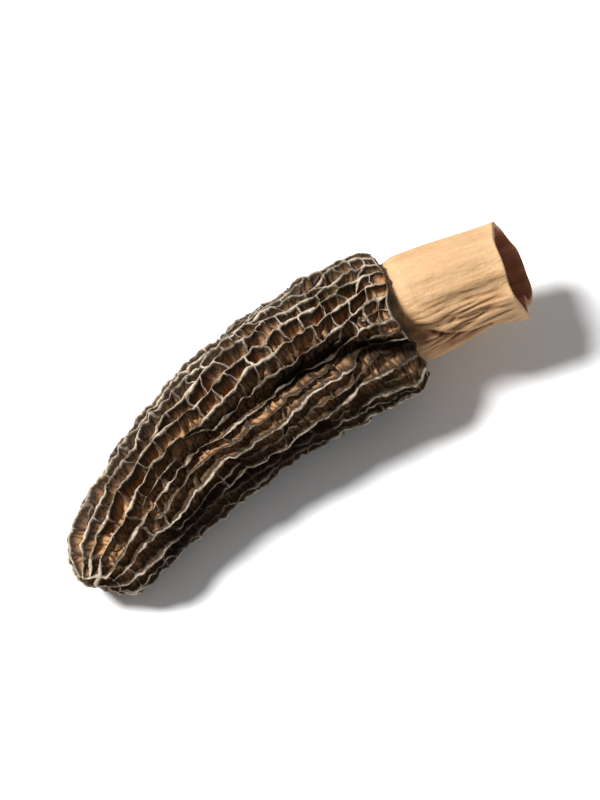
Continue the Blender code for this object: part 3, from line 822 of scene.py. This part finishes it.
def cap_mesh():
    """Closed mesh of the cap whose net is still flush: one face for each pit, then the hollow inside."""
    net = Net(random.Random(SEED), random.Random(SEED + 1))
    bm = bmesh.new()
    depth_layer = bm.faces.layers.float.new("pit depth")
    pit_layer = bm.faces.layers.int.new("pit")
    inward_layer = bm.verts.layers.float_vector.new("inward")
    layers = {name: bm.verts.layers.float.new(name) for name in ("along", "drop", "width", "height", "fold")}

    def add(point, along, angle, height, inward=None, drop=0.0, width=1.0):
        vertex = bm.verts.new(point * MM)
        vertex[inward_layer] = inward or Vector()
        # The fold layer holds the painted shade of the long folds.
        fold = fold_shade(along, angle)
        for name, value in zip(layers, (along, drop, width, height, fold)):
            vertex[layers[name]] = value
        return vertex

    vertices = []
    for share, angle, drop, width in net.points:
        point, inward = crest_point(share, angle, drop)
        width *= 1.0 + CREST_WIDTH_SPREAD * noise.noise(point / CREST_WIDTH_LENGTH)
        height = 1.0 - drop / PIT_DEPTH
        vertices.append(add(point, share * SKIN_LENGTH, angle, height, inward, drop, width))
    depth_draw = random.Random(SEED + 2)
    for cell in net.cells:
        face = bm.faces.new([vertices[number] for number in cell])
        middle = face.calc_center_median()
        reach = sum((vertex.co - middle).length for vertex in face.verts) / len(cell) / MM
        share = sum(net.points[number][0] for number in cell) / len(cell)
        depth = min(pit_depth(share), PIT_DEPTH_PER_WIDTH * reach)
        face[depth_layer] = depth * depth_draw.uniform(1.0 - PIT_DEPTH_SPREAD, 1.0 + PIT_DEPTH_SPREAD)
        face[pit_layer] = 1

    angles = [net.points[number][1] for number in net.base_line]
    rings = [[vertices[number] for number in net.base_line]]
    for way in LIP_SHARES:
        ring = []
        for angle in angles:
            wrinkle = 1.0 + LIP_WRINKLES * noise_round(angle, way, LIP_WRINKLE_SPREAD, 1.0)
            bulge = LIP_BULGE * math.sin(math.pi * way) * wrinkle
            along = hem_back(0.0, angle) * (1.0 - way) - bulge
            radius = mix(crest_radius(0.0, angle), MOUTH_RADIUS, way)
            ring.append(add(place(along, angle, radius), 0.0, angle, LIP_HEIGHT))
        rings.append(ring)
    along = 0.0
    while along < HOLLOW_DEPTH:
        wall = [(angle, place(along, angle, hollow_radius(along, angle))) for angle in angles]
        rings.append([add(point, along, angle, HOLLOW_HEIGHT) for angle, point in wall])
        along += min(HOLLOW_RING_STEP, max((HOLLOW_DEPTH - along) * HOLLOW_STEP_SHARE, HOLLOW_LAST_STEP))
    for first, second in zip(rings[:-1], rings[1:]):
        join_rings(bm, first, second)
    bm.faces.new(rings[-1])
    mesh = bpy.data.meshes.new("cap net")
    bm.to_mesh(mesh)
    bm.free()
    return mesh


def beside_long_crease(out, angle):
    """Distance round the stem from the line of its long crease."""
    return angle_between(angle, LONG_CREASE_ANGLE + LONG_CREASE_LEAN * max(out, 0.0)) * STEM_RADIUS


def long_crease(out, angle):
    """Depth of the crease under the deep fold of the cap, in the mouth of the cap and along the stem."""
    free = smooth_step(out / LONG_CREASE_FADE)
    offset = beside_long_crease(out, angle)
    at_neck, above, below = LONG_CREASE_WIDTHS
    width = mix(at_neck, above if offset < 0.0 else below, free)
    return mix(LONG_CREASE_AT_NECK, LONG_CREASE_DEPTH, free) * bell(offset / width)


def crease_depth(out, angle):
    """Depth of the stem's creases at this place."""
    depth = 0.0
    for crease_angle, size, start, lean in STEM_CREASES:
        centre = math.radians(crease_angle + lean * out)
        offset = angle_between(angle, centre) * STEM_RADIUS / STEM_CREASE_WIDTH
        depth += size * smooth_step((out - start) / STEM_CREASE_FADE) * bell(offset)
    wander = SLIT_WANDER * noise.noise(Vector((out / SLIT_WANDER_LENGTH, 0.0, 0.0)))
    slit = bell((beside_long_crease(out, angle) - SLIT_OFFSET - wander) / SLIT_WIDTH)
    slit *= smooth_step(out / LONG_CREASE_FADE)
    return depth + SLIT_DEPTH * slit + long_crease(out, angle)


def stem_radius(out, angle):
    """Distance from the axis to the skin of the stem, this far out from the cap."""
    slope = (MOUTH_RADIUS - MOUTH_NECK_RADIUS) / MOUTH_NECK_DEPTH
    neck = MOUTH_RADIUS - STEM_GAP + slope * min(out, 0.0)
    body = mix(STEM_RADIUS, STEM_RADIUS_AT_CUT, smooth_step(out / STEM_LENGTH))
    squash = CUT_SQUASH * smooth_step((out - SQUASH_START) / SQUASH_LENGTH)
    radius = mix(neck, body, smooth_step(out / STEM_SWELL_START))
    radius *= 1.0 - squash * math.cos(angle - CUT_SLANT_ANGLE) ** 2
    uneven = 1.0 + FLUTE_UNEVENNESS * noise_round(angle, out, FLUTE_SPREAD, STEM_LENGTH)
    radius += waves_round(STEM_FLUTES, angle, out) * uneven * smooth_step(out / STEM_FREE_LENGTH)
    return radius - crease_depth(out, angle)


def cut_distance(angle):
    """How far out the cut edge lies at this angle: slanted, so that it opens upwards, and ragged."""
    slant = STEM_RADIUS * math.tan(CUT_SLANT) * math.cos(angle - CUT_SLANT_ANGLE)
    return STEM_LENGTH - slant + waves_round(CUT_WAVES, angle)


def creasing(out, angle):
    """How sharply the skin of the stem is creased at this place."""
    offset = angle_between(angle, CREASED_ANGLE) / CREASED_REACH
    creased = mix(CREASED_LEAST, 1.0, bell(offset))
    to_rim = smooth_step((cut_distance(angle) - out) / RIM_SMOOTH_LENGTH)
    return creased * to_rim * smooth_step(out / STEM_SWELL_START)


def stem_mesh():
    """Tube of the stem, with what its skin and its material need to know at each point."""
    bm = bmesh.new()
    layers = {name: bm.verts.layers.float.new(name) for name in ("inside", "creasing", "crease")}
    strand_layer = bm.verts.layers.float_vector.new("strand")
    angles = [TURN * i / STEM_SEGMENTS for i in range(STEM_SEGMENTS)]

    def ring(share, inset, inside, back=0.0):
        """Ring at a share of the way from the tucked end to the cut, moved inwards by the wall."""
        corners = []
        for angle in angles:
            out = -STEM_TUCK + (cut_distance(angle) - back + STEM_TUCK) * share
            vertex = bm.verts.new(place(-out, angle, stem_radius(out, angle) - inset) * MM)
            # The crease layer is painted shade in the creases, with the browner neck added.
            brown = crease_depth(out, angle) / LONG_CREASE_DEPTH
            brown += NECK_TINT * (1.0 - smooth_step(out / NECK_TINT_LENGTH))
            values = (inside, creasing(out, angle) * (1.0 - inside), brown)
            for name, value in zip(layers, values):
                vertex[layers[name]] = value
            vertex[strand_layer] = (math.cos(angle), math.sin(angle), out / STEM_RADIUS)
            corners.append(vertex)
        return corners

    rings = [ring(SKIN_END * i / STEM_RINGS, 0.0, 0.0) for i in range(STEM_RINGS + 1)]
    rings += [ring(1.0, inset, inside, back) for inset, back, inside in RIM_SECTION]
    for i in range(BORE_RINGS + 1):
        share = BORE_START * (1.0 - i / BORE_RINGS)
        wall = mix(STEM_WALL, STEM_WALL_AT_RIM, smooth_step((share - RIM_WALL_START) / RIM_WALL_REACH))
        rings.append(ring(share, wall, 1.0))
    for first, second in zip(rings, rings[1:] + rings[:1]):
        join_rings(bm, first, second)
    mesh = bpy.data.meshes.new("stem tube")
    bm.to_mesh(mesh)
    bm.free()
    return mesh


# Node helpers

def feed(tree, socket, value):
    """Gives a socket a value of its own or the output of another node."""
    if isinstance(value, bpy.types.NodeSocket):
        tree.links.new(value, socket)
    else:
        socket.default_value = value


def add_node(tree, kind, inputs=None, **settings):
    """New node with these settings and inputs; an input is given by its name or number."""
    node = tree.nodes.new(kind)
    for name, value in settings.items():
        setattr(node, name, value)
    for name, value in (inputs or {}).items():
        feed(tree, node.inputs[name], value)
    return node


def maths(tree, operation, *terms):
    """Output of one sum, whose terms are sockets or numbers."""
    return add_node(tree, "ShaderNodeMath", dict(enumerate(terms)), operation=operation).outputs[0]


def plus(tree, first, second):
    return maths(tree, "ADD", first, second)


def minus(tree, first, second):
    return maths(tree, "SUBTRACT", first, second)


def times(tree, first, second):
    return maths(tree, "MULTIPLY", first, second)


def vector_maths(tree, operation, *terms, **named):
    """Output of one vector sum, whose terms are sockets; the scale is given by its name."""
    inputs = {**dict(enumerate(terms)), **named}
    node = add_node(tree, "ShaderNodeVectorMath", inputs, operation=operation)
    return node.outputs["Value"] if operation == "LENGTH" else node.outputs[0]


def named_field(tree, name, kind="FLOAT"):
    """Output that reads a named attribute of the mesh."""
    node = add_node(tree, "GeometryNodeInputNamedAttribute", {"Name": name}, data_type=kind)
    return next(socket for socket in node.outputs if socket.enabled and socket.name == "Attribute")


def new_group(name, kind, inputs, outputs):
    """Empty node group whose inputs and outputs are given as names with kinds of socket."""
    group = bpy.data.node_groups.new(name, kind)
    for way, sockets in (("INPUT", inputs), ("OUTPUT", outputs)):
        for socket, socket_kind in sockets.items():
            group.interface.new_socket(socket, in_out=way, socket_type="NodeSocket" + socket_kind)
    return group, add_node(group, "NodeGroupInput").outputs


def open_tree(name, sizes):
    """New geometry tree with a mesh, a material and these named sizes as its inputs."""
    inputs = {"Mesh": "Geometry", "Material": "Material", **dict.fromkeys(sizes, "Float")}
    return new_group(name, "GeometryNodeTree", inputs, {"Mesh": "Geometry"})


def close_tree(tree, mesh, material):
    """Shades the mesh smooth and ends the tree."""
    smooth = add_node(tree, "GeometryNodeSetShadeSmooth", {"Geometry": mesh})
    realize = add_node(tree, "GeometryNodeRealizeInstances", {"Geometry": smooth.outputs[0]})
    paint = add_node(tree, "GeometryNodeSetMaterial", {"Geometry": realize.outputs[0], "Material": material})
    add_node(tree, "NodeGroupOutput", {0: paint.outputs[0]})


def grow(name, mesh, tree, material, sizes):
    """Object of the mesh after the tree has shaped it, as a plain mesh."""
    seed = bpy.data.objects.new(name + " seed", mesh)
    bpy.context.scene.collection.objects.link(seed)
    modifier = seed.modifiers.new("shape", "NODES")
    modifier.node_group = tree
    values = dict(sizes, Material=material)
    for item in tree.interface.items_tree:
        if item.in_out == "INPUT" and item.name in values:
            modifier[item.identifier] = values[item.name]
    depsgraph = bpy.context.evaluated_depsgraph_get()
    grown = bpy.data.meshes.new_from_object(seed.evaluated_get(depsgraph), depsgraph=depsgraph)
    bpy.data.objects.remove(seed)
    piece = bpy.data.objects.new(name, grown)
    bpy.context.scene.collection.objects.link(piece)
    return piece


# Geometry trees

def capture(tree, mesh, domain, fields):
    """Fields frozen on a mesh before it changes: the mesh, then a list of their outputs."""
    node = add_node(tree, "GeometryNodeCaptureAttribute", {"Geometry": mesh}, domain=domain)
    for number, (name, kind, field) in enumerate(fields, start=1):
        node.capture_items.new(kind, name)
        feed(tree, node.inputs[number], field)
    return node.outputs["Geometry"], list(node.outputs)[1:len(fields) + 1]


def blend_vectors(tree, first, second, way):
    """The first vector and, further on, the second."""
    apart = vector_maths(tree, "SUBTRACT", second, first)
    return vector_maths(tree, "ADD", first, vector_maths(tree, "SCALE", apart, Scale=way))


def blend_numbers(tree, first, second, way):
    return plus(tree, first, times(tree, minus(tree, second, first), way))


def store(tree, mesh, name, value, selection=True):
    """The mesh with a number kept at each selected point under this name."""
    inputs = {"Geometry": mesh, "Name": name, "Value": value, "Selection": selection}
    kept = add_node(tree, "GeometryNodeStoreNamedAttribute", inputs, data_type="FLOAT", domain="POINT")
    return kept.outputs[0]


def noise_field(tree, vector, scale, detail, distortion=0.0):
    """Noise round 0 at these places."""
    inputs = {"Vector": vector, "Scale": scale, "Detail": detail, "Distortion": distortion}
    return minus(tree, add_node(tree, "ShaderNodeTexNoise", inputs).outputs[0], 0.5)


def pit_tree():
    """Sinks each pit of the net ring by ring, from its crest over its wall to its floor."""
    sizes = ("Crest width", "Pleat depth", "Pleats per metre", "Floor relief")
    tree, given = open_tree("Sink the pits", sizes)
    whole = [("spot", "VECTOR", add_node(tree, "GeometryNodeInputPosition").outputs[0]),
             ("inward", "VECTOR", named_field(tree, "inward", "FLOAT_VECTOR")),
             ("along", "FLOAT", named_field(tree, "along"))]
    mesh, (centre, centre_inward, centre_along) = capture(tree, given["Mesh"], "FACE", whole)
    own = [(name, "FLOAT", named_field(tree, name)) for name in ("drop", "width", "height")]
    mesh, (rim, rim_inward, rim_along, drop, width, height) = capture(tree, mesh, "POINT", whole + own)

    reach = vector_maths(tree, "LENGTH", vector_maths(tree, "SUBTRACT", centre, rim))
    sink = maths(tree, "MAXIMUM", minus(tree, named_field(tree, "pit depth"), drop), PIT_DEPTH_LEAST)
    sink = times(tree, sink, MM)
    crest_width = times(tree, given["Crest width"], width)
    pleats = noise_field(tree, rim, given["Pleats per metre"], detail=2.0)
    pleats = times(tree, pleats, given["Pleat depth"])
    chosen = named_field(tree, "pit", "INT")
    for step_in, step_share, depth_share, height_share in PIT_SECTION:
        inputs = {"Mesh": mesh, "Selection": chosen, "Offset Scale": 0.0, "Individual": True}
        extrude = add_node(tree, "GeometryNodeExtrudeMesh", inputs, mode="FACES")
        chosen = extrude.outputs["Top"]
        straight = maths(tree, "DIVIDE", times(tree, crest_width, step_in), reach)
        straight = maths(tree, "MINIMUM", straight, CREST_SHARE_MOST)
        way = plus(tree, straight, step_share * (1.0 - CREST_SHARE_MOST))
        pleated = times(tree, pleats, min(PLEAT_GROWTH * depth_share, 1.0) * (1.0 - step_share))
        way = maths(tree, "MAXIMUM", plus(tree, way, pleated), WAY_LEAST)
        spot = blend_vectors(tree, rim, centre, way)
        relief = noise_field(tree, spot, given["Pleats per metre"], detail=1.0)
        relief = times(tree, relief, given["Floor relief"])
        fall = times(tree, sink, plus(tree, times(tree, relief, depth_share), depth_share))
        down = vector_maths(tree, "SCALE", blend_vectors(tree, rim_inward, centre_inward, way), Scale=fall)
        goal = vector_maths(tree, "ADD", spot, down)
        inputs = {"Geometry": extrude.outputs["Mesh"], "Selection": chosen, "Position": goal}
        mesh = add_node(tree, "GeometryNodeSetPosition", inputs).outputs[0]
        mesh = store(tree, mesh, "height", times(tree, height, height_share), chosen)
        mesh = store(tree, mesh, "along", blend_numbers(tree, rim_along, centre_along, way), chosen)
    close_tree(tree, mesh, given["Material"])
    return tree


def furrow_tree():
    """Presses lengthwise furrows and sharp creases into the skin of the stem."""
    tree, given = open_tree("Furrow the stem", ("Furrow depth", "Crease depth", "Furrows round", "Stretch"))
    strand = named_field(tree, "strand", "FLOAT_VECTOR")
    stretch = {"X": given["Furrows round"], "Y": given["Furrows round"], "Z": given["Stretch"]}
    grain = vector_maths(tree, "MULTIPLY", strand, add_node(tree, "ShaderNodeCombineXYZ", stretch).outputs[0])
    soft = times(tree, noise_field(tree, grain, 1.0, detail=3.0), given["Furrow depth"])
    ridge = noise_field(tree, grain, CREASE_SCALE, detail=1.0, distortion=CREASE_DISTORTION)
    ridge = maths(tree, "ABSOLUTE", ridge)
    sharp = maths(tree, "MAXIMUM", minus(tree, 1.0, times(tree, ridge, CREASE_SHARPNESS)), 0.0)
    sharp = times(tree, sharp, given["Crease depth"])
    creased = named_field(tree, "creasing")
    pressed = times(tree, minus(tree, soft, sharp), creased)
    normal = add_node(tree, "GeometryNodeInputNormal").outputs[0]
    offset = vector_maths(tree, "SCALE", normal, Scale=pressed)
    move = add_node(tree, "GeometryNodeSetPosition", {"Geometry": given["Mesh"], "Offset": offset})
    # Painted shade in the furrows and creases, and painted light on the soft ridges between them, kept for
    # the material.
    tone = times(tree, minus(tree, times(tree, soft, FURROW_PAINTED_SHADING), sharp), creased)
    furrow_light_and_shade = maths(tree, "DIVIDE", tone, given["Crease depth"])
    close_tree(tree, store(tree, move.outputs[0], "furrow_light_and_shade", furrow_light_and_shade), given["Material"])
    return tree


# Shader groups

def grain_group():
    """Dry flesh: soft patches of tone, fine specks and a rough height."""
    inputs = {"Vector": "Vector", "Patch size": "Float", "Speck size": "Float"}
    outputs = dict.fromkeys(("Patches", "Specks", "Rough height"), "Float")
    group, given = new_group("Dry grain", "ShaderNodeTree", inputs, outputs)

    def texture(kind, count, size, **looks):
        """Texture with this many features in the length that a size input gives."""
        scale = maths(group, "DIVIDE", count, given[size])
        return add_node(group, kind, {"Vector": given["Vector"], "Scale": scale, **looks}).outputs

    patches = texture("ShaderNodeTexNoise", 1.0, "Patch size", Detail=3.0)[0]
    specks = texture("ShaderNodeTexNoise", 1.0, "Speck size", Detail=4.0, Roughness=0.7)[0]
    pores = texture("ShaderNodeTexVoronoi", PORES_PER_SPECK, "Speck size")["Distance"]
    height = plus(group, specks, times(group, pores, PORE_HEIGHT))
    add_node(group, "NodeGroupOutput", {"Patches": patches, "Specks": specks, "Rough height": height})
    return group


def place_grain(tree, group, vector, sizes):
    """Outputs of the grain with these sizes of its patches and specks."""
    inputs = {"Vector": vector, "Patch size": sizes[0], "Speck size": sizes[1]}
    return add_node(tree, "ShaderNodeGroup", inputs, node_tree=group).outputs


def colour_ramp(tree, factor, stops):
    """Colour output of a ramp through these (place, colour) stops."""
    node = add_node(tree, "ShaderNodeValToRGB", {0: factor})
    elements = node.color_ramp.elements
    while len(elements) < len(stops):
        elements.new(0.5)
    for element, (where, colour) in zip(elements, stops):
        element.position = where
        element.color = (*colour, 1.0)
    return node.outputs[0]


def mix_colours(tree, factor, first, second):
    """Colour output of a mix; a colour may be a socket or three numbers."""
    node = add_node(tree, "ShaderNodeMix", data_type="RGBA")
    sockets = [socket for socket in node.inputs if socket.enabled]
    for socket, value in zip(sockets, (factor, first, second)):
        feed(tree, socket, (*value, 1.0) if isinstance(value, tuple) else value)
    return next(socket for socket in node.outputs if socket.enabled)


def new_material(name, roughness, shine=0.25):
    """Material with its node tree and the node of its surface."""
    material = bpy.data.materials.new(name)
    material.use_nodes = True
    surface = material.node_tree.nodes["Principled BSDF"]
    surface.inputs["Roughness"].default_value = roughness
    surface.inputs["Specular IOR Level"].default_value = shine
    return material, material.node_tree, surface


def object_coordinates(tree):
    return add_node(tree, "ShaderNodeTexCoord").outputs["Object"]


def mesh_value(tree, name, kind="Fac"):
    return add_node(tree, "ShaderNodeAttribute", attribute_name=name).outputs[kind]


def bump(tree, surface, height, distance, strength):
    node = add_node(tree, "ShaderNodeBump", {"Height": height, "Distance": distance, "Strength": strength})
    feed(tree, surface.inputs["Normal"], node.outputs[0])


def spread(tree, value, low, high):
    """The value stretched so that low becomes 0 and high becomes 1."""
    inputs = {"Value": value, "From Min": low, "From Max": high}
    return add_node(tree, "ShaderNodeMapRange", inputs).outputs[0]


def tint(tree, skin, value, look):
    """The skin with a colour laid over it where the value is high."""
    span, strength, colour = look
    return mix_colours(tree, times(tree, spread(tree, value, *span), strength), skin, colour)


def cap_material(grain):
    """Brown wrinkled pit floors, walls painted near-black as shade in the pits, and pale crests with wear;
    painted shade darkens the long folds and the grooves of the fine wrinkles.
    """
    material, tree, surface = new_material("dried cap flesh", CAP_ROUGHNESS, CAP_SHINE)
    dry = place_grain(tree, grain, object_coordinates(tree), CAP_GRAIN)
    patch = spread(tree, dry["Patches"], *CAP_PATCH_SPAN)
    specks = minus(tree, dry["Specks"], 0.5)
    # Height with specks and patches of wear picks the tones, whose dark band on the walls is painted shade.
    depth_shade_and_wear = plus(tree, mesh_value(tree, "height"), times(tree, specks, SPECK_WEAR))
    depth_shade_and_wear = minus(tree, depth_shade_and_wear, times(tree, patch, PATCH_WEAR))
    flesh = colour_ramp(tree, depth_shade_and_wear, CAP_TONES)
    phase = times(tree, mesh_value(tree, "along"), COMB_RATE)
    phase = plus(tree, phase, times(tree, dry["Patches"], COMB_WANDER))
    comb = spread(tree, maths(tree, "SINE", phase), *COMB_SPAN)
    comb = times(tree, comb, spread(tree, depth_shade_and_wear, *COMB_HEIGHTS))
    # Painted shade in the grooves of the fine wrinkles.
    combed = mix_colours(tree, times(tree, comb, COMB_STRENGTH), flesh, COMB_GROOVE_SHADE)
    # Painted shade, near black, along the long folds.
    shaded = tint(tree, combed, mesh_value(tree, "fold"), FOLD_PAINTED_SHADE)
    feed(tree, surface.inputs["Base Color"], shaded)
    relief = minus(tree, times(tree, dry["Rough height"], CAP_GRAIN_HEIGHT), comb)
    bump(tree, surface, relief, *CAP_BUMP)
    return material


def stem_material(grain):
    """Tan skin with brown painted shade in its furrows and creases, and a dark red-brown bore."""
    material, tree, surface = new_material("dried stem flesh", STEM_ROUGHNESS)
    dry = place_grain(tree, grain, object_coordinates(tree), STEM_GRAIN)
    # Painted shade in the furrows and creases darkens the skin's tones.
    creased = minus(tree, mesh_value(tree, "furrow_light_and_shade"), times(tree, mesh_value(tree, "crease"), CREASE_PAINTED_SHADE))
    skin = colour_ramp(tree, plus(tree, creased, 1.0), STEM_TONES)
    strand = {"Vector": mesh_value(tree, "strand", "Vector"), "Scale": (1.0, 1.0, FIBRE_STRETCH)}
    stretched = add_node(tree, "ShaderNodeMapping", strand).outputs[0]
    fibres = place_grain(tree, grain, stretched, FIBRE_GRAIN)
    layers = ((dry["Patches"], PATCH_TINT), (fibres["Patches"], FIBRE_TINT), (fibres["Specks"], PALE_TINT),
              (dry["Specks"], SPECK_TINT))
    for value, look in layers:
        skin = tint(tree, skin, value, look)
    deep = mix_colours(tree, dry["Patches"], BORE_DARK, BORE_LIGHT)
    feed(tree, surface.inputs["Base Color"], mix_colours(tree, mesh_value(tree, "inside"), skin, deep))
    relief = minus(tree, times(tree, dry["Rough height"], STEM_GRAIN_HEIGHT), fibres["Patches"])
    bump(tree, surface, relief, *STEM_BUMP)
    return material


# Set

def aim(thing, target):
    """Turns a lamp or camera so that it looks at the target."""
    thing.rotation_mode = "QUATERNION"
    thing.rotation_quaternion = (target - thing.location).to_track_quat("-Z", "Y")


def lay_floor():
    bpy.ops.mesh.primitive_plane_add(size=FLOOR_SIZE)
    floor = bpy.context.object
    floor.name = "floor"
    material, _, surface = new_material("pale floor", FLOOR_ROUGHNESS)
    surface.inputs["Base Color"].default_value = (*FLOOR_COLOUR, 1.0)
    floor.data.materials.append(material)


def hang_lamp(name, spot, size, watts, target):
    lamp = bpy.data.lights.new(name, "AREA")
    lamp.shape = "DISK"
    lamp.size = size
    lamp.energy = watts
    holder = bpy.data.objects.new(name, lamp)
    holder.location = spot
    bpy.context.scene.collection.objects.link(holder)
    aim(holder, target)


def light_set(target):
    for lamp in LAMPS:
        hang_lamp(*lamp, target)
    world = bpy.data.worlds.new("studio")
    world.use_nodes = True
    backdrop = world.node_tree.nodes["Background"]
    backdrop.inputs["Color"].default_value = (1.0, 1.0, 1.0, 1.0)
    backdrop.inputs["Strength"].default_value = WORLD_LIGHT
    bpy.context.scene.world = world


def set_camera(target):
    lens = bpy.data.cameras.new("camera")
    lens.sensor_fit = "AUTO"
    lens.sensor_width = SENSOR_HEIGHT
    lens.lens = SENSOR_HEIGHT * VIEW_DISTANCE / (VIEW_WIDTH * PICTURE_HEIGHT / PICTURE_WIDTH)
    lens.clip_start = CLIP_START
    camera = bpy.data.objects.new("camera", lens)
    level = math.cos(VIEW_ELEVATION)
    back = Vector((math.sin(VIEW_AZIMUTH) * level, -math.cos(VIEW_AZIMUTH) * level, math.sin(VIEW_ELEVATION)))
    camera.location = target + back * VIEW_DISTANCE
    bpy.context.scene.collection.objects.link(camera)
    aim(camera, target)
    bpy.context.scene.camera = camera


def dress(piece, node):
    """The piece stands for its node and rides where the node does."""
    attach(piece, "root")
    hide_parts(node)


grain = grain_group()
cap = grow("cap_flesh", cap_mesh(), pit_tree(), cap_material(grain),
           {"Crest width": MM, "Pleat depth": 0.22, "Pleats per metre": 1100.0, "Floor relief": 0.35})
dress(cap, "cap")
stem = grow("stem_flesh", stem_mesh(), furrow_tree(), stem_material(grain),
            {"Furrow depth": 0.0006, "Crease depth": 0.0004, "Furrows round": 5.0, "Stretch": 0.4})
dress(stem, "stem")

low, high = (Vector(corner) for corner in cad_bounds)
middle = (low + high) / 2
lay_floor()
light_set(middle)
set_camera(middle)
bpy.context.scene.view_settings.view_transform = "Standard"
